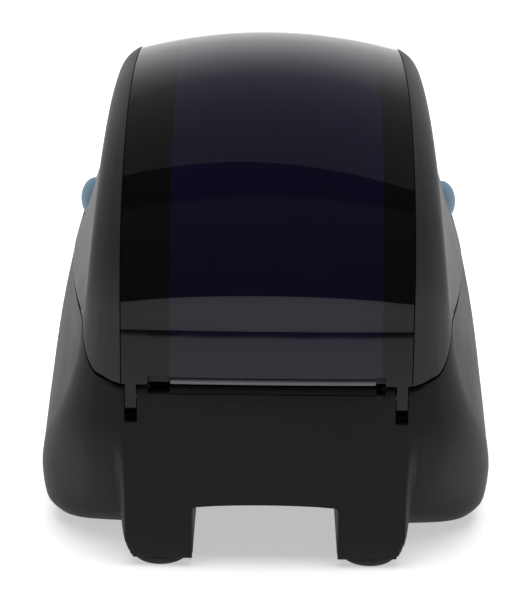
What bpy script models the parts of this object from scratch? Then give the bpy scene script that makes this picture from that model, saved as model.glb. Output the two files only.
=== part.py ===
"""Compact three-inch label maker: a direct thermal printer with a hinged lid.

The frame is +Z up, front towards -Y, origin on the floor under the middle of the case.
Shapes are worked out in millimetres, and the mesh helpers turn them into metres.
"""

import math

import bmesh
import bpy
import numpy as np
from mathutils import Matrix, Vector

MM = 0.001

# Driving dimensions of the outside, in millimetres.
DEPTH = 212.0
HEIGHT = 146.0
WALL = 2.5
FOOT_HEIGHT = 3.0
GAP = 0.3
REAR = DEPTH / 2
FRONT = -DEPTH / 2

# The seam between lid and lower case.
SEAM_REAR = 59.5
SEAM_SIDE = 79.0
SEAM_FRONT = 72.0
SEAM_GAP_REAR = 1.0
SEAM_GAP_SIDE = 0.6

# Lid hinge, media window and cable bay.
AXIS_Y = 96.6
AXIS_Z = 55.5
PANEL_HALF = 44.9
WINDOW_LEFT = 30.0
WINDOW_RIGHT = -35.5
TONGUE_INNER = 40.3
TONGUE_OUTER = 43.7
SLOT_BOTTOM = 48.3
INLET_HALF = 36.8
NOTCH_BOTTOM = 57.5
BAY_HALF = 23.0
BAY_TOP = 21.5
BAY_DEPTH = 62.0
APEX_Y = 10.0

# Print mechanism.
PLATEN_Y = -90.0
PLATEN_Z = 71.8
PLATEN_RADIUS = 6.0
ROLL_Y = 38.0
ROLL_Z = 74.0
ROLL_RADIUS = 46.0
BUTTON_Y = 0.0
BUTTON_Z = 89.5
BUTTON_RADIUS = 7.2

MATERIALS = {
    "case_black": ((0.020, 0.021, 0.023), 0.55, 0.0),
    "lid_black": ((0.020, 0.021, 0.023), 0.50, 0.0),
    "smoked_gloss": ((0.008, 0.008, 0.014), 0.05, 0.0),
    "button_blue": ((0.22, 0.38, 0.50), 0.40, 0.0),
    "rubber_black": ((0.015, 0.015, 0.015), 0.85, 0.0),
    "steel": ((0.55, 0.55, 0.56), 0.30, 1.0),
    "dark_metal": ((0.10, 0.10, 0.11), 0.45, 1.0),
    "nylon_white": ((0.70, 0.70, 0.66), 0.50, 0.0),
    "board_green": ((0.02, 0.14, 0.06), 0.50, 0.0),
    "inner_grey": ((0.09, 0.09, 0.10), 0.60, 0.0),
    "light_guide": ((0.60, 0.75, 0.70), 0.20, 0.0),
    "brass": ((0.70, 0.52, 0.22), 0.35, 1.0),
}


def start_scene():
    for old in list(bpy.data.objects):
        bpy.data.objects.remove(old, do_unlink=True)
    parts = bpy.data.collections.new("label_maker")
    cutters = bpy.data.collections.new("cutters")
    for made in (parts, cutters):
        bpy.context.scene.collection.children.link(made)
    cutters.hide_render = True
    return parts, cutters


PARTS, CUTTERS = start_scene()


def material(name):
    made = bpy.data.materials.get(name)
    if made:
        return made
    colour, roughness, metallic = MATERIALS[name]
    made = bpy.data.materials.new(name)
    made.use_nodes = True
    shader = made.node_tree.nodes["Principled BSDF"]
    shader.inputs["Base Color"].default_value = (*colour, 1.0)
    shader.inputs["Roughness"].default_value = roughness
    shader.inputs["Metallic"].default_value = metallic
    return made


def add_object(name, mesh, finish, smooth=False):
    """A mesh in metres as a named part."""
    made = bpy.data.objects.new(name, mesh)
    PARTS.objects.link(made)
    mesh.materials.append(material(finish))
    if smooth:
        mesh.shade_smooth()
        mesh.set_sharp_from_angle(angle=math.radians(35))
    return made


def as_cutter(made):
    made.hide_render = True
    made.display_type = "WIRE"
    for collection in list(made.users_collection):
        collection.objects.unlink(made)
    CUTTERS.objects.link(made)
    return made


def mesh_of(form, name):
    mesh = bpy.data.meshes.new(name)
    form.to_mesh(mesh)
    form.free()
    return mesh


def box_form(low, high):
    """A box between two corners in millimetres."""
    low, high = Vector(low) * MM, Vector(high) * MM
    form = bmesh.new()
    size = high - low
    place = Matrix.Translation((low + high) / 2) @ Matrix.Diagonal((*size, 1.0))
    bmesh.ops.create_cube(form, size=1.0, matrix=place)
    return form


def box(name, low, high, finish, bevel=0.0):
    made = add_object(name, mesh_of(box_form(low, high), name), finish)
    if bevel:
        rounding = made.modifiers.new("rounded_edges", "BEVEL")
        rounding.width = bevel * MM
        rounding.segments = 1
    return made


TURNS = {
    "X": Matrix.Rotation(math.radians(90), 4, "Y"),
    "Y": Matrix.Rotation(math.radians(-90), 4, "X"),
    "Z": Matrix.Identity(4),
}


def cylinder(name, centre, radius, length, axis, finish, sides=20):
    """A cylinder about its own origin, so that it turns on its axis."""
    form = bmesh.new()
    bmesh.ops.create_cone(
        form, cap_ends=True, segments=sides, radius1=radius * MM, radius2=radius * MM,
        depth=length * MM, matrix=TURNS[axis],
    )
    made = add_object(name, mesh_of(form, name), finish, smooth=True)
    made.location = Vector(centre) * MM
    return made


def boolean(made, cutter, operation="DIFFERENCE"):
    change = made.modifiers.new(cutter.name, "BOOLEAN")
    change.operation = operation
    change.object = as_cutter(cutter)
    return made


def cut_box(made, low, high):
    return boolean(made, box(f"{made.name}_cut_{len(made.modifiers)}", low, high, "steel"))


def cut_round(made, centre, radius, length, axis, sides=20):
    name = f"{made.name}_bore_{len(made.modifiers)}"
    return boolean(made, cylinder(name, centre, radius, length, axis, "steel", sides))


def join_box(made, low, high):
    name = f"{made.name}_join_{len(made.modifiers)}"
    return boolean(made, box(name, low, high, "steel"), "UNION")


def prism(name, outline, axis, low, high, finish, centre=(0, 0)):
    """An outline in the plane across an axis, drawn out along it from low to high.

    The outline's two coordinates are (x, y) for Z, (x, z) for Y and (y, z) for X, about centre.
    """
    place = {
        "Z": lambda a, b, c: (a, b, c),
        "Y": lambda a, b, c: (a, c, b),
        "X": lambda a, b, c: (c, a, b),
    }[axis]
    origin = Vector(place(centre[0], centre[1], (low + high) / 2)) * MM
    half = (high - low) / 2
    form = bmesh.new()
    lower = [form.verts.new(Vector(place(a, b, -half)) * MM) for a, b in outline]
    face = form.faces.new(lower)
    grown = bmesh.ops.extrude_face_region(form, geom=[face])["geom"]
    moved = [item for item in grown if isinstance(item, bmesh.types.BMVert)]
    bmesh.ops.translate(form, verts=moved, vec=Vector(place(0, 0, 2 * half)) * MM)
    bmesh.ops.recalc_face_normals(form, faces=form.faces)
    made = add_object(name, mesh_of(form, name), finish)
    made.location = origin
    return made


def smooth_step(t):
    t = min(max(t, 0.0), 1.0)
    return t * t * (3 - 2 * t)


def bezier(start, corner, end, count):
    """Points inside a quadratic curve that rounds a corner."""
    start, corner, end = (np.array(point, float) for point in (start, corner, end))
    found = []
    for step in range(1, count + 1):
        t = step / (count + 1)
        found.append((1 - t) ** 2 * start + 2 * t * (1 - t) * corner + t * t * end)
    return found


# Outer skin of the lower part: how a level section changes with height.
CORNER_HEIGHTS = [3, 8, 17, 30, 41, 54, 68, 79]
CORNER_X = [69.5, 73, 74, 71, 66.3, 61, 57.5, 56.5]
CORNER_ROUND = [12, 14, 17, 15, 10, 7, 5, 5]
SIDE_HEIGHTS = [3, 5, 9, 17, 30, 41, 50, 60, 79]
SIDE_X = [69, 71, 72.6, 73.7, 74, 73, 71.8, 70.1, 65.9]
FRONT_HEIGHTS = [3, 8, 20, 60, 79]
FRONT_Y = [-102.5, -105, -106, -105, -102]
FRONT_ROUND = 16.0
REAR_COLUMNS = [0, 12, 23, 30, 34, INLET_HALF, 40.0, 44.0, 46.2, 48.5]
SIDE_COLUMNS = [46, 28, 8, -15, -40, -62]
FRONT_COLUMNS = [30, 12, 0]


def rear_y(x, z):
    """The rear wall: a crowned hump in the middle, with wings that tuck forward low down."""
    x = abs(x)
    wall = REAR - 5 * (z / 60) ** 1.5 - 0.0004 * x * x
    if z < 10:
        wall -= 1.5 * ((10 - z) / 7) ** 2
    past = max(0.0, x - 45)
    bend = (0.003 + 0.032 * min(z, 68) / 68) * past * past
    tuck = 26 * max(0.0, (46 - z) / 43) ** 1.58
    hump_edge = 44 - 2.5 * (max(0.0, 12 - z) / 9) ** 2
    return wall - bend - tuck * smooth_step((x - hump_edge) / 3.5)


def side_x(y, z):
    """Half width of the side wall, widest at APEX_Y."""
    widest = np.interp(z, SIDE_HEIGHTS, SIDE_X)
    corner = np.interp(z, CORNER_HEIGHTS, CORNER_X)
    if y > APEX_Y:
        return widest - (widest - corner) * ((y - APEX_Y) / (rear_y(corner, z) - APEX_Y)) ** 2
    return widest - 4 * ((APEX_Y - y) / (APEX_Y - FRONT)) ** 2.5


def half_section(z):
    """Points of a level section from the middle of the rear, round +X, to the middle of the front."""
    corner = np.interp(z, CORNER_HEIGHTS, CORNER_X)
    reach = np.interp(z, CORNER_HEIGHTS, CORNER_ROUND)
    front = np.interp(z, FRONT_HEIGHTS, FRONT_Y)
    corner_y = rear_y(corner, z)
    points = [(x, rear_y(x, z)) for x in REAR_COLUMNS]
    start = (corner - reach, rear_y(corner - reach, z))
    end = (side_x(corner_y - reach, z), corner_y - reach)
    points += [start, *bezier(start, (corner, corner_y), end, 3), end]
    points += [(side_x(y, z), y) for y in SIDE_COLUMNS]
    front_x = side_x(front, z)
    start = (side_x(front + FRONT_ROUND, z), front + FRONT_ROUND)
    end = (front_x - FRONT_ROUND, front + 1)
    points += [start, *bezier(start, (front_x, front + 2), end, 3), end]
    points += [(x, front) for x in FRONT_COLUMNS]
    return [np.array(point, float) for point in points]


RIM = [SEAM_REAR] * 4 + [SEAM_REAR] * 4 + [SEAM_REAR + 0.3, SEAM_REAR + 1.2]
RIM += [SEAM_REAR + 3, SEAM_REAR + 5.5, SEAM_REAR + 9, SEAM_REAR + 13, SEAM_SIDE - 3]
RIM += [SEAM_SIDE] * (len(SIDE_COLUMNS) + 4) + [SEAM_SIDE - 3] + [SEAM_FRONT] * len(FRONT_COLUMNS)
LEVELS = [3, 5.5, 10, 15.5, BAY_TOP, 30, 40, SLOT_BOTTOM, 54, 57.5, SEAM_REAR]
STRETCH_FROM = 40


def level_height(level, rim):
    """The height of one level in a column whose top is at rim."""
    if level <= STRETCH_FROM:
        return level
    return STRETCH_FROM + (level - STRETCH_FROM) * (rim - STRETCH_FROM) / (SEAM_REAR - STRETCH_FROM)


def mirrored(half):
    """A closed loop from its +X half, whose first and last points are on the middle plane."""
    return half + [np.array([-p[0], *p[1:]]) for p in half[-2:0:-1]]


def case_grid():
    """The lower case's outer skin, as rows of closed loops from the floor up."""
    rows = []
    for level in LEVELS:
        half = []
        for column, rim in enumerate(RIM):
            z = level_height(level, rim)
            half.append(np.append(half_section(z)[column], z))
        rows.append(mirrored(half))
    return np.array(rows)


def level_inset(grid, depth):
    """A stack of loops moved inwards by depth, keeping each point's height."""
    along = np.roll(grid, -1, axis=1) - np.roll(grid, 1, axis=1)
    inward = np.stack([along[..., 1], -along[..., 0], np.zeros(grid.shape[:2])], axis=-1)
    inward /= np.linalg.norm(inward, axis=-1, keepdims=True)
    return grid + depth * inward


def normal_inset(grid, depth):
    """An open grid moved along its normals, by a depth for each point."""
    along = np.gradient(grid, axis=1)
    across = np.gradient(grid, axis=0)
    normal = np.cross(along, across)
    normal /= np.linalg.norm(normal, axis=-1, keepdims=True)
    moved = grid + np.asarray(depth)[..., None] * normal
    for edge in (np.s_[0], np.s_[-1], np.s_[:, 0], np.s_[:, -1]):
        moved[edge][..., 2] = grid[edge][..., 2]
    return moved


def shell(name, outer, inner, keep, wrap, finish):
    """A closed wall between two matching grids, over the cells in keep."""
    rows, columns = outer.shape[:2]
    form = bmesh.new()
    skins = [
        [[form.verts.new(Vector(point) * MM) for point in row] for row in grid]
        for grid in (outer, inner)
    ]
    edges = {}
    for row in range(rows - 1):
        for column in range(columns if wrap else columns - 1):
            if not keep(row, column):
                continue
            beside = (column + 1) % columns
            ring = [(row, column), (row, beside), (row + 1, beside), (row + 1, column)]
            form.faces.new([skins[0][r][c] for r, c in ring])
            form.faces.new([skins[1][r][c] for r, c in reversed(ring)])
            for start, end in zip(ring, ring[1:] + ring[:1]):
                edges[start, end] = True
    for start, end in edges:
        if (end, start) not in edges:
            (r0, c0), (r1, c1) = start, end
            form.faces.new([skins[0][r1][c1], skins[0][r0][c0], skins[1][r0][c0], skins[1][r1][c1]])
    bmesh.ops.delete(form, geom=[v for v in form.verts if not v.link_faces], context="VERTS")
    bmesh.ops.recalc_face_normals(form, faces=form.faces)
    return add_object(name, mesh_of(form, name), finish, smooth=True)


def rounded_about_hinge(grid):
    """The top of the rear wall drawn in, so that the lid's lower edge turns past it."""
    drawn = grid.copy()
    for row in drawn:
        for column, point in enumerate(row):
            reach = point[2] - AXIS_Z
            forward = point[1] - AXIS_Y
            rim = drawn[-1][column][2]
            limit = rim + SEAM_GAP_REAR - AXIS_Z - 0.4
            if forward > 0 and 0 < reach < limit:
                point[1] = AXIS_Y + min(forward, math.sqrt(limit * limit - reach * reach))
    return drawn


def lower_case():
    skin = case_grid()
    columns = skin.shape[1]
    last = len(REAR_COLUMNS) - 1
    slot = REAR_COLUMNS.index(40.0)
    notch = REAR_COLUMNS.index(34)

    def side_and_place(column):
        """Which half a cell is in, and its place counted from the middle of the rear."""
        return (1, column) if column < columns / 2 else (-1, columns - 1 - column)

    def keep(row, column):
        side, place = side_and_place(column)
        low, high = LEVELS[row], LEVELS[row + 1]
        if place > last:
            return True
        if place < REAR_COLUMNS.index(23) and high <= BAY_TOP:
            return False
        if place == slot and low >= SLOT_BOTTOM:
            return False
        in_notch = place == notch or (side > 0 and place == notch - 1)
        return not (in_notch and low >= NOTCH_BOTTOM)

    return shell("lower_case", rounded_about_hinge(skin), level_inset(skin, WALL), keep, True, "case_black")


# The lid is a row of arches. Each hangs from the middle profile and ends at the seam.
APRON_HEIGHTS = [SEAM_REAR + SEAM_GAP_REAR, 62.5, 66, 70, 75]
PANEL_COLUMNS = [0, 12, 23, WINDOW_LEFT, -WINDOW_RIGHT, TONGUE_INNER, TONGUE_OUTER, PANEL_HALF]
REAR_STEPS = 9
FRONT_STEPS = 8
CHEEK_SIDE_STEPS = 5
FOOT_Z = SEAM_SIDE + SEAM_GAP_SIDE
REAR_TOP_Y = REAR - 5 * (FOOT_Z / 60) ** 1.5
LID_FRONT_Y = -103.0


def apron_row(z, share):
    """A level row of the lid's rear skirt. share is how far round the corner it ends."""
    half = half_section(z)
    corner = len(REAR_COLUMNS)
    path = [half[corner - 1 + step] for step in range(6)]
    path = [np.array([PANEL_HALF + 0.3, rear_y(PANEL_HALF, z)]), *path]
    places = np.linspace(0, share * (len(path) - 1), CHEEK_SIDE_STEPS + 6)
    cheek = [
        np.array([np.interp(place, range(len(path)), [p[axis] for p in path]) for axis in (0, 1)])
        for place in places
    ]
    panel = [np.array([x, rear_y(x, z)]) for x in PANEL_COLUMNS]
    return [np.append(point, z) for point in panel + cheek]


def arch_row(top, foot, crown, bend, corner_x, reach):
    """An arch from the middle of the lid to its foot on the side seam.

    Its top falls away by crown at the panel's edge, and faster by bend past it. The corner
    between the top and the cheek is at corner_x, and its rounding starts reach before it.
    """
    top, foot = np.array(top), np.array(foot)
    length = np.linalg.norm(foot[1:] - top)
    way = (foot[1:] - top) / length

    def place(x, drop):
        return np.append(x, top + way * drop)

    def fall(x):
        return crown * (x / 45) ** 2 + bend * max(0.0, x - 45) ** 2

    corner = (corner_x, fall(corner_x))
    low = corner[1] + reach
    flare = foot[0] - corner_x

    def side(drop):
        return corner_x + flare * ((drop - corner[1]) / (length - corner[1])) ** 1.6

    start = (corner_x - reach, fall(corner_x - reach))
    points = [place(x, fall(x)) for x in PANEL_COLUMNS]
    points.append(place(PANEL_HALF + 0.3, fall(PANEL_HALF + 0.3)))
    points.append(place(*start))
    points += [place(*point) for point in bezier(start, corner, (side(low), low), 3)]
    for step in range(CHEEK_SIDE_STEPS + 1):
        drop = low + (length - low) * step / CHEEK_SIDE_STEPS
        points.append(place(side(drop), drop))
    return points


def lid_rows():
    """Half rows of the lid's outer skin, from the rear edge over the top to the front."""
    shares = [0.07, 0.22, 0.48, 0.64, 0.78]
    rows = [apron_row(z, share) for z, share in zip(APRON_HEIGHTS, shares)]
    for step in range(REAR_STEPS + 1):
        angle = math.radians(90) * step / REAR_STEPS
        top_y = APEX_Y + (REAR_TOP_Y - APEX_Y) * math.cos(angle) ** 0.9
        top_z = FOOT_Z + (HEIGHT - FOOT_Z) * math.sin(angle) ** 0.9
        foot_y = APEX_Y + 75 * math.cos(angle)
        foot = (side_x(foot_y, SEAM_SIDE), foot_y, FOOT_Z)
        raised = math.sin(angle)
        rows.append(arch_row(
            (top_y, top_z), foot, 0.8 + 5.2 * raised, 0.035, 56.5 - 4.5 * raised, 5 + 1.2 * raised
        ))
    for step in range(1, FRONT_STEPS + 1):
        angle = math.radians(90) * step / FRONT_STEPS
        top_y = APEX_Y + (LID_FRONT_Y - APEX_Y) * math.sin(angle) ** 0.95
        top_z = FOOT_Z + (HEIGHT - FOOT_Z) * math.cos(angle) ** 0.95
        foot_y = APEX_Y - 96 * math.sin(angle)
        foot = (side_x(foot_y, SEAM_SIDE), foot_y, FOOT_Z)
        raised = math.cos(angle)
        rows.append(arch_row(
            (top_y, top_z), foot, 2 + 4 * raised, 0.035 * raised, 58 - 6 * raised, 5 + 1.2 * raised
        ))
    return rows


def lid_grid():
    rows = []
    for half in lid_rows():
        rows.append([np.array([-p[0], *p[1:]]) for p in half[:0:-1]] + half)
    return np.array(rows)


LAST_PANEL_ROW = len(APRON_HEIGHTS) + REAR_STEPS + 5
LAST_CLEAR_ROW = len(APRON_HEIGHTS) + REAR_STEPS + 1


def lid_shell():
    """The matt cheeks, the front and the seat that the smoked panel lies in."""
    skin = lid_grid()
    across = skin[0, :, 0]
    seat = np.abs(across) <= PANEL_HALF + 0.1
    near = np.abs(across) <= PANEL_HALF + 0.4
    rows = np.arange(len(skin))[:, None]
    seated = seat[None, :] & (rows <= LAST_PANEL_ROW)
    backed = near[None, :] & (rows <= LAST_PANEL_ROW + 1)
    outer = normal_inset(skin, np.where(seated, 2.6, 0.0))
    inner = normal_inset(skin, np.where(backed, 4.8, WALL))

    def keep(row, column):
        clear = 1 <= row < LAST_CLEAR_ROW
        middle = (across[column] + across[column + 1]) / 2
        return not (clear and WINDOW_RIGHT < middle < WINDOW_LEFT)

    made = shell("lid_shell", outer, inner, keep, False, "lid_black")
    for side in (1, -1):
        cut_round(made, (side * 60, BUTTON_Y, BUTTON_Z), BUTTON_RADIUS + 0.4, 24, "X")
    return made


def lid_window():
    """The smoked panel, with the two tongues that carry the hinge."""
    skin = lid_grid()[: LAST_PANEL_ROW + 1]
    across = skin[0, :, 0]
    skin = skin[:, np.abs(across) <= PANEL_HALF + 0.1]
    made = shell("lid_window", skin, normal_inset(skin, np.full(skin.shape[:2], 2.2)),
                 lambda row, column: True, False, "smoked_gloss")
    middle = (TONGUE_INNER + TONGUE_OUTER) / 2
    outline = [(rear_y(middle, z) - 0.1, z) for z in (61.5, 56, 52)]
    outline += [(93.4, 52), (93.4, 59.2), (98.3, 60.1), (98.3, 61.5)]
    for side in (1, -1):
        ends = sorted((side * TONGUE_INNER, side * TONGUE_OUTER))
        tongue = prism(f"tongue_{side}", outline, "X", *ends, "smoked_gloss")
        boolean(made, tongue, "UNION")
        cut_round(made, (side * middle, AXIS_Y, AXIS_Z), 1.3, 6, "X", 16)
    return made


def hinges():
    """On each side a pin, and the bracket that holds its two ends."""
    for side, word in ((1, "left"), (-1, "right")):
        bracket = box(f"hinge_bracket_{word}", (side * 42 - 6, 90, 46), (side * 42 + 6, 97, 59), "inner_grey")
        cut_box(bracket, (side * 42 - 2.2, 80, 49.2), (side * 42 + 2.2, 110, 70))
        cut_round(bracket, (side * 42, AXIS_Y, AXIS_Z), 1.3, 20, "X", 16)
        cylinder(f"hinge_pin_{word}", (side * 42, AXIS_Y, AXIS_Z), 1.0, 9, "X", "steel", 12)


BAY_FRONT = REAR - BAY_DEPTH
SCREW_PLACES = [(45, -80), (-45, -80), (56, 30), (-56, 30)]


def cover_outline():
    """The plan of the bottom cover, inside the case wall and drawn in between the legs and wings."""
    loop = np.array([mirrored([np.append(point, 4.0) for point in half_section(4)])])
    inset = [np.array(point[:2]) for point in level_inset(loop, WALL + 1.6)[0]]
    leg_side = [np.array([38.2, 96.0]), np.array([40.8, 74.2])]
    half = inset[: REAR_COLUMNS.index(40.0)] + leg_side + inset[len(REAR_COLUMNS) : len(inset) // 2 + 1]
    return [tuple(point) for point in mirrored(half)]


def bottom_cover():
    """The closing plate, with the cable bay and the holes for the sockets in its front wall."""
    outline = cover_outline()
    made = prism("bottom_cover", outline, "Z", FOOT_HEIGHT, 5, "case_black")
    join_box(made, (-BAY_HALF - 1.9, BAY_FRONT - 2, 3.4), (BAY_HALF + 1.9, 100.9, BAY_TOP + 1.9))
    cut_box(made, (-BAY_HALF + 0.1, BAY_FRONT, 0), (BAY_HALF - 0.1, 120, BAY_TOP - 0.1))
    for low, high in SOCKET_PLACES.values():
        cut_box(made, (low - 0.3, BAY_FRONT - 6, 8.2), (high + 0.3, BAY_FRONT + 6, 19.8))
    for number, (x, y) in enumerate(SCREW_PLACES, 1):
        cut_round(made, (x, y, 4), 2.8, 6, "Z", 12)
        cylinder(f"case_screw_{number}", (x, y, 6.1), 2.5, 5.8, "Z", "steel", 12)
    return made


SOCKET_PLACES = {"usb": (-6, 6), "jack": (10, 20), "switch": (-20.5, -9)}
SOCKET_LOW, SOCKET_HIGH = 8.5, 19.5
SOCKET_BACK = BAY_FRONT - 0.4
ROCKER_TILT = math.radians(6)


def sockets():
    """What the cable bay gives access to: USB, power jack and power switch."""
    low, high = SOCKET_PLACES["usb"]
    port = box("usb_port", (low, 28, SOCKET_LOW), (high, SOCKET_BACK, SOCKET_HIGH), "steel")
    cut_box(port, (low + 1.2, SOCKET_BACK - 9, SOCKET_LOW + 1.5), (high - 1.2, 60, SOCKET_HIGH - 1.5))
    low, high = SOCKET_PLACES["jack"]
    jack = box("power_jack", (low, 30, SOCKET_LOW), (high, SOCKET_BACK, SOCKET_HIGH), "case_black")
    cut_round(jack, ((low + high) / 2, SOCKET_BACK, 14), 3.2, 20, "Y", 16)
    low, high = SOCKET_PLACES["switch"]
    housing = box("power_switch_frame", (low, 34, SOCKET_LOW), (high, SOCKET_BACK, SOCKET_HIGH), "case_black")
    cut_box(housing, (low + 1.2, 37, SOCKET_LOW + 1.2), (high - 1.2, 60, SOCKET_HIGH - 1.2))
    outline = [(3.8, -3.2), (4.6, 0), (3.8, 3.2), (-1, 2.4), (-1, -2.4)]
    cos, sin = math.cos(ROCKER_TILT), math.sin(ROCKER_TILT)
    turned = [(a * cos + b * sin, b * cos - a * sin) for a, b in outline]
    prism("power_rocker", turned, "X", low + 1.6, high - 1.6, "case_black", (BAY_FRONT - 3.5, 14))
    box("main_board", (-38, -70, 6.6), (38, 41.5, 8.2), "board_green")


def feet():
    for side, word in ((1, "left"), (-1, "right")):
        cylinder(f"foot_rear_{word}", (side * 33.2, 94.9, 1.35), 8.8, 2.7, "Z", "rubber_black", 28)
        cylinder(f"foot_front_{word}", (side * 48, -84, 1.35), 7, 2.7, "Z", "rubber_black")


RACK_PITCH = math.pi
PINION_Y = -20.0
RACK_LOW, RACK_HIGH = 59.5, 63.6


def roll_bin():
    """The half-round cradle that the label roll lies in."""
    angles = [math.radians(a) for a in range(200, 356, 14)]
    outline = [(48 * math.cos(a), 48 * math.sin(a)) for a in angles]
    outline += [(ROLL_RADIUS * math.cos(a), ROLL_RADIUS * math.sin(a)) for a in reversed(angles)]
    prism("roll_bin", outline, "X", -46, 46, "inner_grey", (ROLL_Y, ROLL_Z))


def media_guides():
    """Two roll holders that close on the roll together, by a rack on each and one pinion."""
    angles = [math.radians(a) for a in range(196, 346, 14)]
    plate = [(ROLL_Y + 44 * math.cos(a), ROLL_Z + 44 * math.sin(a)) for a in angles]
    plate += [(74, 84), (56, 100), (20, 100), (2, 84)]
    for side, word in ((1, "left"), (-1, "right")):
        ends = sorted((side * 38, side * 41))
        made = prism(f"guide_{word}", plate, "X", *ends, "inner_grey")
        rack_y = PINION_Y + side * 5
        low_y, high_y = sorted((rack_y + side * 1.1, rack_y + side * 4))
        join_box(made, (ends[0] + 0.1, low_y, 64), (ends[1] - 0.1, 10, 67))
        join_box(made, (ends[0] + 0.2, low_y, RACK_LOW), (ends[1] - 0.2, high_y, 66))
        outline = rack_outline(side, rack_y)
        rack = prism(f"rack_{word}", outline, "Z", RACK_LOW + 0.1, RACK_HIGH, "inner_grey")
        boolean(made, rack, "UNION")
    pinion = prism("guide_pinion", gear_outline(10, 1.0, 90), "Z", RACK_LOW, RACK_HIGH,
                   "nylon_white", (0, PINION_Y))
    cut_round(pinion, (0, PINION_Y, 61), 1.8, 12, "Z", 12)
    cylinder("pinion_post", (0, PINION_Y, 56), 1.5, 16, "Z", "steel", 12)


def rack_outline(side, rack_y):
    """A toothed bar along X, with a gap between teeth at x = 0 and its teeth towards the pinion."""
    far, root, tip = rack_y + side * 4, rack_y + side * 1.1, rack_y - side * 0.8
    points = [(side * 39, root), (side * 39, far), (side * -11.5, far), (side * -11.5, root)]
    for number in range(-3, 11):
        middle = side * (number + 0.5) * RACK_PITCH
        points += [(middle - side * 1.0, root), (middle - side * 0.4, tip)]
        points += [(middle + side * 0.4, tip), (middle + side * 1.0, root)]
    return points


def gear_outline(teeth, module, phase):
    """A gear with a tooth at phase degrees."""
    pitch = teeth * module / 2
    root, tip = pitch - 1.15 * module, pitch + 0.8 * module
    corners = [(root, -0.95), (tip, -0.36), (tip, 0.36), (root, 0.95)]
    points = []
    for tooth in range(teeth):
        middle = math.radians(phase + 360 * tooth / teeth)
        for radius, half in corners:
            turn = middle + half * module / radius
            points.append((radius * math.cos(turn), radius * math.sin(turn)))
    return points


GEAR_MODULE = 0.8
GEAR_TEETH = {"platen": 18, "idler": 24, "motor": 12}
IDLER_PLACE = (-76.0, 62.5)
MOTOR_PLACE = (-63.0, 56.3)
GEAR_LOW, GEAR_HIGH = 45.6, 49.0


def line_angle(start, end):
    return math.degrees(math.atan2(end[1] - start[1], end[0] - start[0]))


def gear_train():
    """Motor pinion, idler and platen gear, meshed in one plane outside the left side plate."""
    platen = (PLATEN_Y, PLATEN_Z)
    first = line_angle(platen, IDLER_PLACE)
    second = line_angle(IDLER_PLACE, MOTOR_PLACE)
    idler_phase = first + 180 + 180 / GEAR_TEETH["idler"]
    ratio = GEAR_TEETH["idler"] / GEAR_TEETH["motor"]
    motor_phase = second + 180 - ratio * (idler_phase - second) + 180 / GEAR_TEETH["motor"]
    ends = (GEAR_LOW, GEAR_HIGH)
    outline = gear_outline(GEAR_TEETH["platen"], GEAR_MODULE, first)
    gear = prism("platen_gear", outline, "X", *ends, "nylon_white", platen)
    cut_round(gear, (47, *platen), 2.8, 12, "X", 16)
    outline = gear_outline(GEAR_TEETH["idler"], GEAR_MODULE, idler_phase)
    gear = prism("idler_gear", outline, "X", *ends, "nylon_white", IDLER_PLACE)
    cut_round(gear, (47, *IDLER_PLACE), 1.8, 12, "X", 12)
    outline = gear_outline(GEAR_TEETH["motor"], GEAR_MODULE, motor_phase)
    gear = prism("motor_pinion", outline, "X", *ends, "brass", MOTOR_PLACE)
    boolean(gear, cylinder("motor_shaft", (45, *MOTOR_PLACE), 1.5, 5, "X", "steel", 12), "UNION")
    cylinder("idler_axle", (48, *IDLER_PLACE), 1.5, 5.4, "X", "steel", 12)
    cylinder("platen_shaft", (3, *platen), 2.5, 99, "X", "steel", 16)
    roller = cylinder("platen_roller", (0, *platen), PLATEN_RADIUS, 82, "X", "rubber_black", 28)
    cut_round(roller, (0, *platen), 2.8, 100, "X", 16)
    for side, word in ((1, "left"), (-1, "right")):
        bush = cylinder(f"platen_bush_{word}", (side * 43.7, *platen), 3.9, 3.2, "X", "nylon_white")
        cut_round(bush, (side * 43.7, *platen), 2.8, 12, "X", 16)


def mech_frame():
    """The metal chassis: side plates for the platen and gears, a floor and two legs."""
    outline = [(-45, 44), (45, 44), (45, 79), (43, 79), (43, 46), (-43, 46), (-43, 79), (-45, 79)]
    made = prism("mech_frame", outline, "Y", -99, -50, "dark_metal")
    for side in (1, -1):
        low, high = sorted((side * 30, side * 35))
        join_box(made, (low, -94, 9), (high, -86, 45))
        cut_round(made, (side * 44, PLATEN_Y, PLATEN_Z), 4.2, 6, "X")
    cut_round(made, (44, *MOTOR_PLACE), 2.5, 6, "X", 12)
    motor_y, motor_z = MOTOR_PLACE
    corners = (10, motor_y - 10, motor_z - 9.9), (42.4, motor_y + 10, motor_z + 9.9)
    box("motor_body", *corners, "dark_metal", 1.5)
    deck = box("media_deck", (-42.5, -80, 67.5), (42.5, -8, 69.5), "inner_grey")
    cut_box(deck, (-6, -61, 60), (6, -51, 80))
    box("gap_sensor", (-5.6, -60.6, 66), (5.6, -51.4, 69.2), "case_black")


def front_controls():
    """The feed button, the two status lights and the small board behind them."""
    cylinder("feed_button", (0, -104.0, 34), 6, 4, "Y", "button_blue")
    box("panel_board", (-20, -99, 24), (20, -97.4, 43), "board_green")
    box("feed_switch", (-3, -101, 31), (3, -99.3, 37), "case_black")
    for side, word in ((1, "left"), (-1, "right")):
        cylinder(f"status_light_{word}", (side * 14, -102.6, 34), 1.5, 6.4, "Y", "light_guide", 12)


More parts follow.
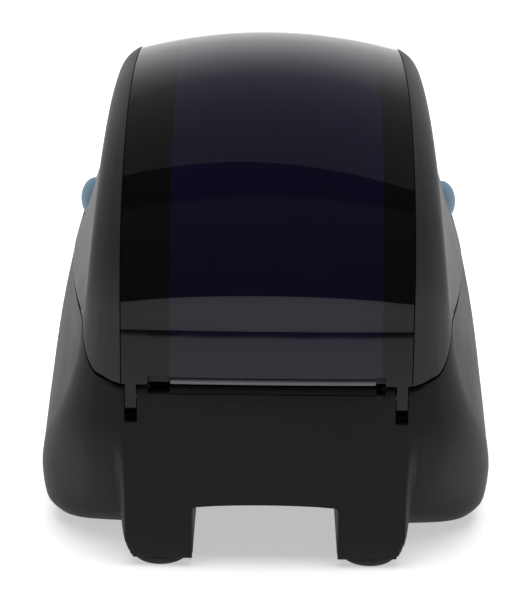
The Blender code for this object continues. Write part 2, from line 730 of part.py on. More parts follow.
def print_head():
    """The head under the lid: it rests on the platen and gives a little against two springs."""
    box("print_head", (-39, -97, 78.1), (39, -83, 80.5), "dark_metal")
    box("head_bracket", (-41, -96, 80.9), (41, -74, 83), "steel")
    comb = [(-84, 83.4), (-84, 90)]
    for fin in range(3):
        right = -84 - 3.6 * fin
        comb += [(right - 1.8, 90), (right - 1.8, 85.4), (right - 3.6, 85.4), (right - 3.6, 90)]
    comb += [(-96.2, 90), (-96.2, 83.4)]
    prism("head_heatsink", comb, "X", -38, 38, "steel")
    box("head_beam", (-44, -86, 96), (44, -68, 99), "inner_grey")
    box("tear_bar", (-40, -98.4, 79.8), (40, -97.4, 81.6), "steel")
    for side, word in ((1, "left"), (-1, "right")):
        coil_spring(f"head_spring_{word}", (side * 25, -79), 83.3 + 0.6, 95.7 - 0.6)


def coil_spring(name, place, low, high):
    """A compression spring of four turns along Z, in 0.9 mm wire."""
    curve = bpy.data.curves.new(name, "CURVE")
    curve.dimensions = "3D"
    curve.bevel_depth = 0.45 * MM
    curve.bevel_resolution = 1
    curve.use_fill_caps = True
    turns, per_turn = 4, 9
    spline = curve.splines.new("POLY")
    spline.points.add(turns * per_turn)
    for number, point in enumerate(spline.points):
        turn = 2 * math.pi * number / per_turn
        share = number / (turns * per_turn)
        point.co = (2.8 * MM * math.cos(turn), 2.8 * MM * math.sin(turn), (high - low) * share * MM, 1)
    made = bpy.data.objects.new(name, curve)
    PARTS.objects.link(made)
    curve.materials.append(material("steel"))
    made.location = Vector((*place, low)) * MM


LATCH_PIVOT = (50.0, 102.0)


def latches():
    """On each side a release button, the hook it pushes, the hook's pin and the ledge it holds."""
    hook = [(48.2, 105), (51.6, 105), (51.6, 99), (56.6, 87), (56.6, 73.9), (60.4, 73.4), (58.6, 71),
            (53.4, 71), (53.4, 86), (48.2, 98)]
    pivot_x, pivot_z = LATCH_PIVOT
    for side, word in ((1, "left"), (-1, "right")):
        outline = [(side * (x - pivot_x), z - pivot_z) for x, z in hook]
        made = prism(f"latch_hook_{word}", outline, "Y", BUTTON_Y - 4, BUTTON_Y + 4, "inner_grey",
                     (side * pivot_x, pivot_z))
        cut_round(made, (side * pivot_x, BUTTON_Y, pivot_z), 1.3, 20, "Y", 12)
        cylinder(f"latch_pin_{word}", (side * pivot_x, BUTTON_Y, pivot_z), 1.0, 14, "Y", "steel", 12)
        low, high = sorted((side * 60.8, side * 63.4))
        box(f"latch_ledge_{word}", (low, -8, 74.4), (high, 8, 78.2), "inner_grey")
        button = cylinder(f"release_button_{word}", (side * 61.2, BUTTON_Y, BUTTON_Z), BUTTON_RADIUS, 8.0,
                          "X", "button_blue", 24)
        rounding = button.modifiers.new("rounded_edges", "BEVEL")
        rounding.width = 1.5 * MM
        rounding.segments = 1
        rounding.limit_method = "ANGLE"
        rounding.angle_limit = math.radians(60)


def main():
    case = lower_case()
    cut_round(case, (0, FRONT, 34), 6.4, 12, "Y")
    for side in (1, -1):
        cut_round(case, (side * 14, FRONT, 34), 1.8, 12, "Y", 12)
    bottom_cover()
    sockets()
    feet()
    roll_bin()
    media_guides()
    mech_frame()
    gear_train()
    front_controls()
    hinges()
    lid_shell()
    lid_window()
    print_head()
    latches()


main()
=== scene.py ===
"""Looks of the label maker: fine shells, materials, floor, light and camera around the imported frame."""

import math
import bmesh
import bpy
import numpy as np
from mathutils import Matrix, Vector


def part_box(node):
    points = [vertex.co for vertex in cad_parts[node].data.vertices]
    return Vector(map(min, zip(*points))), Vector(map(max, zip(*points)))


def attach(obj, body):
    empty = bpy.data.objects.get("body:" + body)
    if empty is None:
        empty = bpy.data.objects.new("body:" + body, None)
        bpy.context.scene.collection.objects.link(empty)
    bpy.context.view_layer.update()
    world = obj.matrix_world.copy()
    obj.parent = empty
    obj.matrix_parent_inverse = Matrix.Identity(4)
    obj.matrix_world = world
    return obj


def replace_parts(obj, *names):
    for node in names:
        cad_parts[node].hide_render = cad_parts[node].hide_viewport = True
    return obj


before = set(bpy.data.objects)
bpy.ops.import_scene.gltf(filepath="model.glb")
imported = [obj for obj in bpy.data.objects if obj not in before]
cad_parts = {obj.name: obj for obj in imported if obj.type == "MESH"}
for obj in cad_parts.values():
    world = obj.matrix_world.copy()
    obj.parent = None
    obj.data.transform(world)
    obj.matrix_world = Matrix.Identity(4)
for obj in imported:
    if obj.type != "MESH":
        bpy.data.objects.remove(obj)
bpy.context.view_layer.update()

# Shapes are worked out in millimetres, as the design is, and made in metres.
MM = 0.001
REAR = 106.0
FRONT = -106.0
HEIGHT = 146.0
WALL = 2.5
SEAM_REAR = 59.5
SEAM_SIDE = 79.0
SEAM_GAP_REAR = 1.0
SEAM_GAP_SIDE = 0.6
AXIS_Y = 96.6
AXIS_Z = 55.5
APEX_Y = 10.0
PANEL_HALF = 44.9
PANEL_GAP = 0.35
WINDOW_LEFT = 30.0
WINDOW_RIGHT = -35.5
TONGUE_INNER = 40.3
TONGUE_OUTER = 43.7
SLOT_INNER = 40.0
SLOT_OUTER = 44.0
SLOT_BOTTOM = 48.3
INLET_HALF = 36.8
NOTCH_RIGHT = 34
NOTCH_BOTTOM = 57.5
BAY_HALF = 23.0
BAY_TOP = 21.5
LIP_TOP = 62.9
BUTTON_Y = 0.0
BUTTON_Z = 89.5
BUTTON_RADIUS = 7.2
FEED_Z = 34.0
FEED_BORE = 6.4
STATUS_X = 14.0
STATUS_BORE = 1.8


# ---------------------------------------------------------------- materials


def new_material(name):
    made = bpy.data.materials.new(name)
    made.use_nodes = True
    tree = made.node_tree
    return made, tree, tree.nodes["Principled BSDF"]


def noise(tree, scale, detail=3.0, stretch=(1, 1, 1)):
    """Noise in the part's own space, with a size that doesn't depend on the piece."""
    place = tree.nodes.new("ShaderNodeTexCoord")
    mapping = tree.nodes.new("ShaderNodeMapping")
    mapping.inputs["Scale"].default_value = stretch
    texture = tree.nodes.new("ShaderNodeTexNoise")
    texture.inputs["Scale"].default_value = scale
    texture.inputs["Detail"].default_value = detail
    tree.links.new(place.outputs["Object"], mapping.inputs["Vector"])
    tree.links.new(mapping.outputs["Vector"], texture.inputs["Vector"])
    return texture.outputs["Fac"]


def ramp(tree, source, low, high, start=0.3, end=0.7):
    """A colour that runs from low to high as source runs from start to end."""
    made = tree.nodes.new("ShaderNodeValToRGB")
    made.color_ramp.elements[0].position = start
    made.color_ramp.elements[1].position = end
    made.color_ramp.elements[0].color = (*low, 1.0)
    made.color_ramp.elements[1].color = (*high, 1.0)
    tree.links.new(source, made.inputs["Fac"])
    return made.outputs["Color"]


def span(tree, source, low, high):
    """A number that runs from low to high as source runs from 0.3 to 0.7."""
    made = tree.nodes.new("ShaderNodeMapRange")
    made.inputs["From Min"].default_value = 0.3
    made.inputs["From Max"].default_value = 0.7
    made.inputs["To Min"].default_value = low
    made.inputs["To Max"].default_value = high
    tree.links.new(source, made.inputs["Value"])
    return made.outputs["Result"]


def bump(tree, shader, source, depth, strength=1.0):
    made = tree.nodes.new("ShaderNodeBump")
    made.inputs["Strength"].default_value = strength
    made.inputs["Distance"].default_value = depth
    tree.links.new(source, made.inputs["Height"])
    tree.links.new(made.outputs["Normal"], shader.inputs["Normal"])


def shade(colour, factor):
    return tuple(channel * factor for channel in colour)


def moulded(name, colour, roughness, grain=3200.0, depth=0.00004, variation=0.12, specular=0.5):
    """Spark-eroded plastic: a fine even grain, with faint clouds in its tone and polish."""
    made, tree, shader = new_material(name)
    clouds = noise(tree, 45.0, 4.0)
    tone = ramp(tree, clouds, shade(colour, 1 - variation), shade(colour, 1 + variation))
    tree.links.new(tone, shader.inputs["Base Color"])
    tree.links.new(span(tree, clouds, roughness - 0.03, roughness + 0.04), shader.inputs["Roughness"])
    shader.inputs["Specular IOR Level"].default_value = specular
    bump(tree, shader, noise(tree, grain, 2.0), depth)
    return made


def polished(name, colour, roughness, transmission=0.0, specular=0.5):
    """Glossy plastic with a trace of moulding flow and dust in its surface."""
    made, tree, shader = new_material(name)
    flow = noise(tree, 18.0, 2.0)
    tone = ramp(tree, flow, shade(colour, 0.85), shade(colour, 1.15))
    tree.links.new(tone, shader.inputs["Base Color"])
    dust = noise(tree, 900.0, 4.0)
    tree.links.new(span(tree, dust, roughness, roughness + 0.025), shader.inputs["Roughness"])
    shader.inputs["Transmission Weight"].default_value = transmission
    shader.inputs["Specular IOR Level"].default_value = specular
    shader.inputs["IOR"].default_value = 1.49
    bump(tree, shader, flow, 0.00015, 0.3)
    return made


def metal(name, colour, roughness, stretch=(1, 1, 1), scale=600.0):
    """Rolled or turned metal, with fine marks along one way."""
    made, tree, shader = new_material(name)
    marks = noise(tree, scale, 5.0, stretch)
    tone = ramp(tree, marks, shade(colour, 0.82), shade(colour, 1.1))
    tree.links.new(tone, shader.inputs["Base Color"])
    tree.links.new(span(tree, marks, roughness - 0.06, roughness + 0.08), shader.inputs["Roughness"])
    shader.inputs["Metallic"].default_value = 1.0
    bump(tree, shader, marks, 0.00002, 0.6)
    return made


def rubber(name, colour, roughness):
    made, tree, shader = new_material(name)
    grain = noise(tree, 1500.0, 3.0)
    tone = ramp(tree, noise(tree, 120.0), shade(colour, 0.8), shade(colour, 1.3))
    tree.links.new(tone, shader.inputs["Base Color"])
    tree.links.new(span(tree, grain, roughness - 0.05, roughness + 0.05), shader.inputs["Roughness"])
    bump(tree, shader, grain, 0.00008)
    return made


def circuit_board(name):
    """Green solder mask over copper tracks, with the laminate's weave."""
    made, tree, shader = new_material(name)
    place = tree.nodes.new("ShaderNodeTexCoord")
    tracks = tree.nodes.new("ShaderNodeTexBrick")
    tracks.inputs["Scale"].default_value = 260.0
    tracks.inputs["Color1"].default_value = (0.010, 0.090, 0.035, 1)
    tracks.inputs["Color2"].default_value = (0.012, 0.110, 0.045, 1)
    tracks.inputs["Mortar"].default_value = (0.030, 0.180, 0.080, 1)
    tree.links.new(place.outputs["Object"], tracks.inputs["Vector"])
    tree.links.new(tracks.outputs["Color"], shader.inputs["Base Color"])
    weave = noise(tree, 2200.0)
    tree.links.new(span(tree, weave, 0.35, 0.50), shader.inputs["Roughness"])
    bump(tree, shader, tracks.outputs["Fac"], 0.00005)
    return made


BLACK = (0.0125, 0.0130, 0.0142)
BLUE = (0.150, 0.240, 0.320)
FINISHES = {
    "case": moulded("case_plastic", shade(BLACK, 0.8), 0.50, specular=0.12),
    "lid": moulded("lid_plastic", shade(BLACK, 1.7), 0.50, specular=0.3),
    "inside": moulded("inner_plastic", (0.030, 0.030, 0.033), 0.6, grain=1800.0),
    "button": moulded("button_plastic", BLUE, 0.50, grain=2600.0, depth=0.00002, specular=0.2),
    "clear": polished("smoked_clear", (0.0030, 0.0026, 0.0120), 0.02, transmission=0.1, specular=0.30),
    "masked": polished("smoked_masked", (0.0022, 0.0022, 0.0024), 0.02, specular=0.26),
    # The lip's colour is the case black made 4.2 times lighter: a painted highlight for the bright strip
    # under the window.
    "lip_painted_highlight": moulded("lip_plastic_painted_highlight", shade(BLACK, 4.2), 0.30, specular=0.8),
    "foot": rubber("foot_rubber", (0.018, 0.018, 0.018), 0.80),
    "roller": rubber("platen_rubber", (0.022, 0.021, 0.021), 0.62),
    "steel": metal("bright_steel", (0.60, 0.60, 0.61), 0.30, (1, 12, 1)),
    "chassis": metal("dark_plated_steel", (0.16, 0.16, 0.17), 0.42, (8, 1, 1)),
    "aluminium": metal("extruded_aluminium", (0.72, 0.73, 0.75), 0.38, (14, 1, 1)),
    "brass": metal("turned_brass", (0.72, 0.53, 0.24), 0.32, (1, 1, 10)),
    "nylon": moulded("natural_nylon", (0.66, 0.65, 0.58), 0.48, grain=1400.0),
    "board": circuit_board("solder_mask"),
    "light": polished("light_guide", (0.42, 0.62, 0.55), 0.12, transmission=0.4),
}

CARRIED = {
    "inside": [
        "roll_bin", "media_deck", "gap_sensor", "power_jack", "power_switch_frame", "power_rocker",
        "feed_switch", "guide_left", "guide_right", "latch_hook_left", "latch_hook_right",
        "latch_ledge_left", "latch_ledge_right", "hinge_bracket_left", "hinge_bracket_right", "head_beam",
    ],
    "case": ["bottom_cover"],
    "steel": [
        "usb_port", "platen_shaft", "idler_axle", "pinion_post", "tear_bar", "head_bracket",
        "hinge_pin_left", "hinge_pin_right", "latch_pin_left", "latch_pin_right",
        "head_spring_left", "head_spring_right", *(f"case_screw_{n}" for n in range(1, 5)),
    ],
    "chassis": ["mech_frame", "motor_body", "print_head"],
    "aluminium": ["head_heatsink"],
    "brass": ["motor_pinion"],
    "nylon": ["guide_pinion", "platen_gear", "idler_gear", "platen_bush_left", "platen_bush_right"],
    "roller": ["platen_roller"],
    "board": ["main_board", "panel_board"],
    "light": ["status_light_left", "status_light_right"],
}


def dress_carried_nodes():
    for finish, names in CARRIED.items():
        for name in names:
            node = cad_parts[name]
            node.data.materials.clear()
            node.data.materials.append(FINISHES[finish])


# ---------------------------------------------------------------- outer skin


def curve_through(xs, ys):
    """A smooth curve through points, that doesn't overshoot between them."""
    xs, ys = np.array(xs, float), np.array(ys, float)
    steps = np.diff(ys) / np.diff(xs)
    slopes = np.zeros(len(xs))
    slopes[0], slopes[-1] = steps[0], steps[-1]
    for i in range(1, len(xs) - 1):
        if steps[i - 1] * steps[i] > 0:
            slopes[i] = 2 * steps[i - 1] * steps[i] / (steps[i - 1] + steps[i])

    def at(x):
        x = min(max(x, xs[0]), xs[-1])
        i = min(int(np.searchsorted(xs, x, side="right")) - 1, len(xs) - 2)
        width = xs[i + 1] - xs[i]
        t = (x - xs[i]) / width
        return (
            ys[i] * (1 + 2 * t) * (1 - t) ** 2 + width * slopes[i] * t * (1 - t) ** 2
            + ys[i + 1] * t * t * (3 - 2 * t) + width * slopes[i + 1] * t * t * (t - 1)
        )

    return at


corner_x = curve_through([3, 8, 17, 30, 41, 54, 68, 79], [69.5, 73, 74, 71, 66.3, 61, 57.5, 56.5])
corner_reach = curve_through([3, 8, 17, 30, 41, 54, 68, 79], [12, 14, 17, 15, 10, 7, 5, 5])
widest_x = curve_through(
    [3, 5, 9, 17, 30, 41, 50, 60, 79], [69, 71, 72.6, 73.7, 74, 73, 71.8, 70.1, 65.9]
)
front_y = curve_through([3, 8, 20, 60, 79], [-102.5, -105, -106, -105, -102])
FRONT_ROUND = 16.0

# Places round a level section are numbered, from the middle of the rear (0) round +X to the
# middle of the front (LAST). The numbers between are shared out evenly along each stretch.
REAR_X = [0, 12, 23, 30, 34, INLET_HALF, SLOT_INNER, SLOT_OUTER, 46.2, 48.5]
SIDE_Y = [46, 28, 8, -15, -40, -62]
CORNER_SPAN = 4
CORNER_START = len(REAR_X)
CORNER_END = CORNER_START + CORNER_SPAN
FRONT_START = CORNER_END + len(SIDE_Y) + 1
FRONT_END = FRONT_START + CORNER_SPAN
FRONT_X = [30, 12, 0]
LAST = FRONT_END + len(FRONT_X)

seam = curve_through(
    [0, 7, 8, 9, 10, 11, 12, 13, 14, 15, FRONT_END - 1, FRONT_END, LAST],
    [0, 0, 0.3, 1.2, 3, 5.5, 9, 13.5, 18, 19.5, 19.5, 14, 12.5],
)


def seam_height(place):
    return SEAM_REAR + seam(place)


def smooth_step(t):
    t = min(max(t, 0.0), 1.0)
    return t * t * (3 - 2 * t)


def rear_y(x, z):
    """The rear wall: a crowned hump in the middle, with wings that tuck forward low down."""
    x = abs(x)
    wall = REAR - 5 * (z / 60) ** 1.5 - 0.0004 * x * x
    if z < 10:
        wall -= 1.5 * ((10 - z) / 7) ** 2
    past = max(0.0, x - 45)
    bend = (0.003 + 0.032 * min(z, 68) / 68) * past * past
    tuck = 26 * max(0.0, (46 - z) / 43) ** 1.58
    hump_edge = 44 - 2.5 * (max(0.0, 12 - z) / 9) ** 2
    return wall - bend - tuck * smooth_step((x - hump_edge) / 3.5)


def side_x(y, z):
    """Half width of the side wall, widest at APEX_Y."""
    if y > APEX_Y:
        corner = corner_x(z)
        share = (y - APEX_Y) / (rear_y(corner, z) - APEX_Y)
        return widest_x(z) - (widest_x(z) - corner) * share**2
    return widest_x(z) - 4 * ((APEX_Y - y) / (APEX_Y - FRONT)) ** 2.5


def rounding(t, start, corner, end):
    return tuple((1 - t) ** 2 * a + 2 * t * (1 - t) * b + t * t * c for a, b, c in zip(start, corner, end))


def section_point(z, place):
    """The point at a numbered place of the level section at height z."""
    corner, reach, front = corner_x(z), corner_reach(z), front_y(z)
    corner_y = rear_y(corner, z)
    if place <= CORNER_START:
        x = np.interp(place, range(CORNER_START + 1), [*REAR_X, corner - reach])
        return x, rear_y(x, z)
    if place <= CORNER_END:
        start = (corner - reach, rear_y(corner - reach, z))
        end = (side_x(corner_y - reach, z), corner_y - reach)
        return rounding((place - CORNER_START) / CORNER_SPAN, start, (corner, corner_y), end)
    if place <= FRONT_START:
        stops = [corner_y - reach, *SIDE_Y, front + FRONT_ROUND]
        y = np.interp(place, range(CORNER_END, FRONT_START + 1), stops)
        return side_x(y, z), y
    front_x = side_x(front, z)
    if place <= FRONT_END:
        start = (side_x(front + FRONT_ROUND, z), front + FRONT_ROUND)
        end = (front_x - FRONT_ROUND, front + 1)
        return rounding((place - FRONT_START) / CORNER_SPAN, start, (front_x, front + 2), end)
    stops = range(FRONT_END, LAST + 1)
    x = np.interp(place, stops, [front_x - FRONT_ROUND, *FRONT_X])
    return x, np.interp(place, stops, [front + 1] + [front] * len(FRONT_X))


def spread(stops, counts):
    """Places from the first stop to the last, with a count of equal steps in each stretch."""
    found = [float(stops[0])]
    for start, end, count in zip(stops, stops[1:], counts):
        found += [start + (end - start) * step / count for step in range(1, count + 1)]
    return found


# ---------------------------------------------------------------- mesh helpers


def linked(name, data):
    """An object of this data, in the scene."""
    made = bpy.data.objects.new(name, data)
    bpy.context.scene.collection.objects.link(made)
    return made


def add_piece(name, form, body, slot, *finishes):
    """A mesh in millimetres as a smooth-shaded piece that rides on a body."""
    bmesh.ops.scale(form, vec=(MM, MM, MM), verts=form.verts)
    mesh = bpy.data.meshes.new(name)
    form.to_mesh(mesh)
    form.free()
    mesh.shade_smooth()
    made = linked(name, mesh)
    for finish in finishes:
        mesh.materials.append(FINISHES[finish])
    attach(made, body)
    return made


def soften(made, width, segments=2, angle=32):
    """Small moulded radii along the edges, with the faces between them kept flat."""
    change = made.modifiers.new("moulded_radii", "BEVEL")
    change.limit_method = "ANGLE"
    change.angle_limit = math.radians(angle)
    change.width = width * MM
    change.segments = segments
    change.harden_normals = True


def wall_form(outer, inner, keep, wrap):
    """A closed wall between two matching grids, over the cells in keep."""
    rows, columns = outer.shape[:2]
    form = bmesh.new()
    skins = [[[form.verts.new(point) for point in row] for row in grid] for grid in (outer, inner)]
    edges = set()
    for row in range(rows - 1):
        for column in range(columns if wrap else columns - 1):
            if not keep(row, column):
                continue
            beside = (column + 1) % columns
            ring = [(row, column), (row, beside), (row + 1, beside), (row + 1, column)]
            form.faces.new([skins[0][r][c] for r, c in ring])
            form.faces.new([skins[1][r][c] for r, c in reversed(ring)])
            edges.update(zip(ring, ring[1:] + ring[:1]))
    for start, end in sorted(edges):
        if (end, start) not in edges:
            (r0, c0), (r1, c1) = start, end
            form.faces.new([skins[0][r1][c1], skins[0][r0][c0], skins[1][r0][c0], skins[1][r1][c1]])
    bmesh.ops.delete(form, geom=[v for v in form.verts if not v.link_faces], context="VERTS")
    bmesh.ops.remove_doubles(form, verts=form.verts, dist=0.02)
    bmesh.ops.recalc_face_normals(form, faces=form.faces)
    return form


def level_inset(grid, depth):
    """A stack of closed loops moved inwards by depth, keeping each point's height."""
    along = np.roll(grid, -1, axis=1) - np.roll(grid, 1, axis=1)
    inward = np.stack([along[..., 1], -along[..., 0], np.zeros(grid.shape[:2])], axis=-1)
    inward /= np.linalg.norm(inward, axis=-1, keepdims=True)
    return grid + depth * inward


def normal_inset(grid, depth):
    """An open grid moved inwards along its normals, by a depth for each point."""
    normal = np.cross(np.gradient(grid, axis=1), np.gradient(grid, axis=0))
    normal /= np.maximum(np.linalg.norm(normal, axis=-1, keepdims=True), 1e-9)
    moved = grid + np.asarray(depth)[..., None] * normal
    for edge in (np.s_[0], np.s_[-1], np.s_[:, 0], np.s_[:, -1]):
        moved[edge][..., 2] = grid[edge][..., 2]
    return moved


def close_loops(form, loops):
    """Faces from each loop to the next, and over both ends."""
    for one, two in zip(loops, loops[1:]):
        for a, b, c, d in zip(one, one[1:] + one[:1], two[1:] + two[:1], two):
            form.faces.new([a, b, c, d])
    form.faces.new(loops[0])
    form.faces.new(loops[-1])
    bmesh.ops.recalc_face_normals(form, faces=form.faces)
    return form


def turned_form(profile, centre, axis, sides=48):
    """A turned solid. Its profile is (distance along the axis, radius), from end to end."""
    form = bmesh.new()
    loops = []
    for along, radius in profile:
        loop = []
        for step in range(sides):
            angle = 2 * math.pi * step / sides
            across = (radius * math.cos(angle), radius * math.sin(angle))
            place = {"X": (along, *across), "Y": (across[0], along, across[1]), "Z": (*across, along)}[axis]
            loop.append(form.verts.new(Vector(centre) + Vector(place)))
        loops.append(loop)
    return close_loops(form, loops)


def prism_form(outline, axis, low, high):
    """An outline drawn out from low to high: (x, y) along Z, (x, z) along Y or (y, z) along X."""
    order = {"Z": (0, 1, 2), "Y": (0, 2, 1), "X": (2, 0, 1)}[axis]
    form = bmesh.new()
    ends = []
    for level in (low, high):
        points = [(a, b, level) for a, b in outline]
        ends.append([form.verts.new([point[i] for i in order]) for point in points])
    form.faces.new(ends[0])
    form.faces.new(ends[1])
    for a, b, c, d in zip(ends[0], ends[0][1:] + ends[0][:1], ends[1][1:] + ends[1][:1], ends[1]):
        form.faces.new([a, b, c, d])
    bmesh.ops.recalc_face_normals(form, faces=form.faces)
    return form


def cut(made, form, operation="DIFFERENCE"):
    """A Boolean with a tool in millimetres, done at once so that no helper is left."""
    bmesh.ops.scale(form, vec=(MM, MM, MM), verts=form.verts)
    mesh = bpy.data.meshes.new("tool")
    form.to_mesh(mesh)
    form.free()
    tool = linked("tool", mesh)
    change = made.modifiers.new("cut", "BOOLEAN")
    change.operation = operation
    change.solver = "EXACT"
    change.object = tool
    bpy.context.view_layer.update()
    graph = bpy.context.evaluated_depsgraph_get()
    result = bpy.data.meshes.new_from_object(made.evaluated_get(graph))
    made.modifiers.remove(change)
    made.data = result
    bpy.data.objects.remove(tool, do_unlink=True)


def finish_shell(made, width=0.35):
    """Smooth shading after the last cut, and rounded edges."""
    made.data.shade_smooth()
    soften(made, width)


def slab_form(low, high):
    form = bmesh.new()
    low, high = Vector(low), Vector(high)
    place = Matrix.Translation((low + high) / 2) @ Matrix.Diagonal((*(high - low), 1.0))
    bmesh.ops.create_cube(form, size=1.0, matrix=place)
    return form


# ---------------------------------------------------------------- lower case

CASE_STOPS = [*range(CORNER_START + 1), CORNER_END, *range(CORNER_END + 1, FRONT_START + 1), FRONT_END]
CASE_STOPS += range(FRONT_END + 1, LAST + 1)
CASE_COUNTS = [4, 4, 2, 2, 1, 1, 5, 5, 4, 3, 18, *[4] * 7, 12, 4, 4, 4]
LEVEL_STOPS = [3, 5.5, 10, BAY_TOP, 30, 40, SLOT_BOTTOM, 54, NOTCH_BOTTOM, SEAM_REAR]
LEVEL_COUNTS = [4, 3, 4, 3, 3, 3, 2, 2, 2]
STRETCH_FROM = 40


def case_skin(places, levels):
    """The lower case's outside, as closed loops from the floor up to the seam."""
    rows = []
    for level in levels:
        half = []
        for place in places:
            rise = max(0.0, level - STRETCH_FROM) / (SEAM_REAR - STRETCH_FROM)
            z = min(level, STRETCH_FROM) + rise * (seam_height(place) - STRETCH_FROM)
            half.append((*section_point(z, place), z))
        rows.append(half + [(-x, y, z) for x, y, z in half[-2:0:-1]])
    return np.array(rows)


def drawn_in(y, z, rim):
    """How far back the rear wall may reach, so that the lid's lower edge turns past it."""
    reach = z - AXIS_Z
    limit = rim + SEAM_GAP_REAR - AXIS_Z - 0.4
    if y <= AXIS_Y or not 0 < reach < limit:
        return y
    return min(y, AXIS_Y + math.sqrt(limit * limit - reach * reach))


def drawn_about_hinge(skin):
    for row in skin:
        for column, point in enumerate(row):
            point[1] = drawn_in(point[1], point[2], skin[-1][column][2])
    return skin


def arched_outline(half, low, top, sag, radius):
    """The outline of the cable bay: straight sides, and a slightly arched top with round corners."""
    inner = half - radius
    level = top - sag - radius

    def corner(side, start):
        angles = [math.radians(start + 90 * step / 6) for step in range(7)]
        return [(side * inner + radius * math.cos(a), level + radius * math.sin(a)) for a in angles]

    crossings = [inner * (1 - step / 4) for step in range(1, 8)]
    arch = [(x, top - sag * (x / half) ** 2) for x in crossings]
    return [(-half, low), (half, low), *corner(1, 0), *arch, *corner(-1, 90)]


def groove_form(start, end, height, width, depth):
    """A tool for a fine level groove that follows the rear wall."""
    form = bmesh.new()
    loops = []
    for x in np.linspace(start, end, 17):
        y = drawn_in(rear_y(x, height), height, SEAM_REAR)
        corners = [(y - depth, height), (y + 2, height), (y + 2, height + width), (y - depth, height + width)]
        loops.append([form.verts.new((x, *corner)) for corner in corners])
    return close_loops(form, loops)


def case_shell():
    places = spread(CASE_STOPS, CASE_COUNTS)
    levels = spread(LEVEL_STOPS, LEVEL_COUNTS)
    skin = case_skin(places, levels)
    columns = skin.shape[1]
    slot = (REAR_X.index(SLOT_INNER), REAR_X.index(SLOT_OUTER))
    notch_end = REAR_X.index(INLET_HALF)
    notch = {1: (REAR_X.index(WINDOW_LEFT), notch_end), -1: (REAR_X.index(NOTCH_RIGHT), notch_end)}

    def keep(row, column):
        side, cell = (1, column) if column < columns / 2 else (-1, columns - 1 - column)
        middle = (places[cell] + places[cell + 1]) / 2
        low = levels[row] + 1e-6
        in_slot = slot[0] < middle < slot[1] and low > SLOT_BOTTOM
        in_notch = notch[side][0] < middle < notch[side][1] and low > NOTCH_BOTTOM
        return not (in_slot or in_notch)

    inner = level_inset(skin, WALL)
    form = wall_form(drawn_about_hinge(skin), inner, keep, True)
    made = add_piece("case_shell", form, "base", "case_plastic", "case")
    bay = arched_outline(BAY_HALF, -5, BAY_TOP + 0.4, 0.9, 1.6)
    cut(made, prism_form(bay, "Y", 80, 120))
    cut(made, groove_form(-34, 30, NOTCH_BOTTOM - 0.1, 0.35, 0.5))
    for x, radius in ((0, FEED_BORE), (STATUS_X, STATUS_BORE), (-STATUS_X, STATUS_BORE)):
        cut(made, turned_form([(-5, radius), (7, radius)], (x, FRONT, FEED_Z), "Y", 32))
    finish_shell(made)
    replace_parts(made, "lower_case")


# ---------------------------------------------------------------- lid

PANEL_STOPS = [0, 23, WINDOW_LEFT, -WINDOW_RIGHT, TONGUE_INNER, TONGUE_OUTER, PANEL_HALF]
PANEL_COUNTS = [5, 2, 2, 2, 1, 1]
CHEEK_START = PANEL_HALF + PANEL_GAP
CORNER_STEPS = 14
CHEEK_STEPS = 12
APRON_STEPS = 9
REAR_STEPS = 30
FRONT_STEPS = 24
PANEL_END = APRON_STEPS + REAR_STEPS + 15
CLEAR_END = APRON_STEPS + REAR_STEPS + 3
FOOT_Z = SEAM_SIDE + SEAM_GAP_SIDE
REAR_TOP_Y = REAR - 5 * (FOOT_Z / 60) ** 1.5
LID_FRONT_Y = -103.0
REAR_FOOT_Y = 75.0
FRONT_FOOT_Y = 96.0


def arch_row(top, foot, crown, bend, corner_x, reach):
    """An arch from the middle of the lid, over its rounded corner and down a cheek to its foot."""
    top, foot = np.array(top), np.array(foot)
    length = np.linalg.norm(foot[1:] - top)
    way = (foot[1:] - top) / length

    def fall(x):
        return crown * (x / 45) ** 2 + bend * max(0.0, x - 45) ** 2

    corner = (corner_x, fall(corner_x))
    low = corner[1] + reach
    flare = foot[0] - corner_x

    def side(drop):
        return corner_x + flare * ((drop - corner[1]) / (length - corner[1])) ** 1.6

    start = (corner_x - reach, fall(corner_x - reach))
    end = (side(low), low)
    flat = spread(PANEL_STOPS, PANEL_COUNTS) + [CHEEK_START, (CHEEK_START + start[0]) / 2]
    points = [(x, fall(x)) for x in flat]
    points += [rounding(step / CORNER_STEPS, start, corner, end) for step in range(CORNER_STEPS)]
    for step in range(CHEEK_STEPS + 1):
        drop = low + (length - low) * step / CHEEK_STEPS
        points.append((side(drop), drop))
    return np.array([np.append(x, top + way * drop) for x, drop in points])


def rear_arch(angle):
    top_y = APEX_Y + (REAR_TOP_Y - APEX_Y) * math.cos(angle) ** 0.9
    top_z = FOOT_Z + (HEIGHT - FOOT_Z) * math.sin(angle) ** 0.9
    foot_y = APEX_Y + REAR_FOOT_Y * math.cos(angle)
    foot = (side_x(foot_y, SEAM_SIDE), foot_y, FOOT_Z)
    raised = math.sin(angle)
    return arch_row(
        (top_y, top_z), foot, 0.8 + 5.2 * raised, 0.035, 56.5 - 4.5 * raised, 5 + 1.2 * raised
    )


def front_arch(angle):
    top_y = APEX_Y + (LID_FRONT_Y - APEX_Y) * math.sin(angle) ** 0.95
    top_z = FOOT_Z + (HEIGHT - FOOT_Z) * max(0.0, math.cos(angle)) ** 0.95
    foot_y = APEX_Y - FRONT_FOOT_Y * math.sin(angle)
    foot = (side_x(foot_y, SEAM_SIDE), foot_y, FOOT_Z)
    raised = math.cos(angle)
    return arch_row(
        (top_y, top_z), foot, 2 + 4 * raised, 0.035 * raised, 58 - 6 * raised, 5 + 1.2 * raised
    )


def place_at_x(x):
    """The place round a section that lies at x on the rear wall, before the corner."""
    return np.interp(x, REAR_X, range(len(REAR_X)))


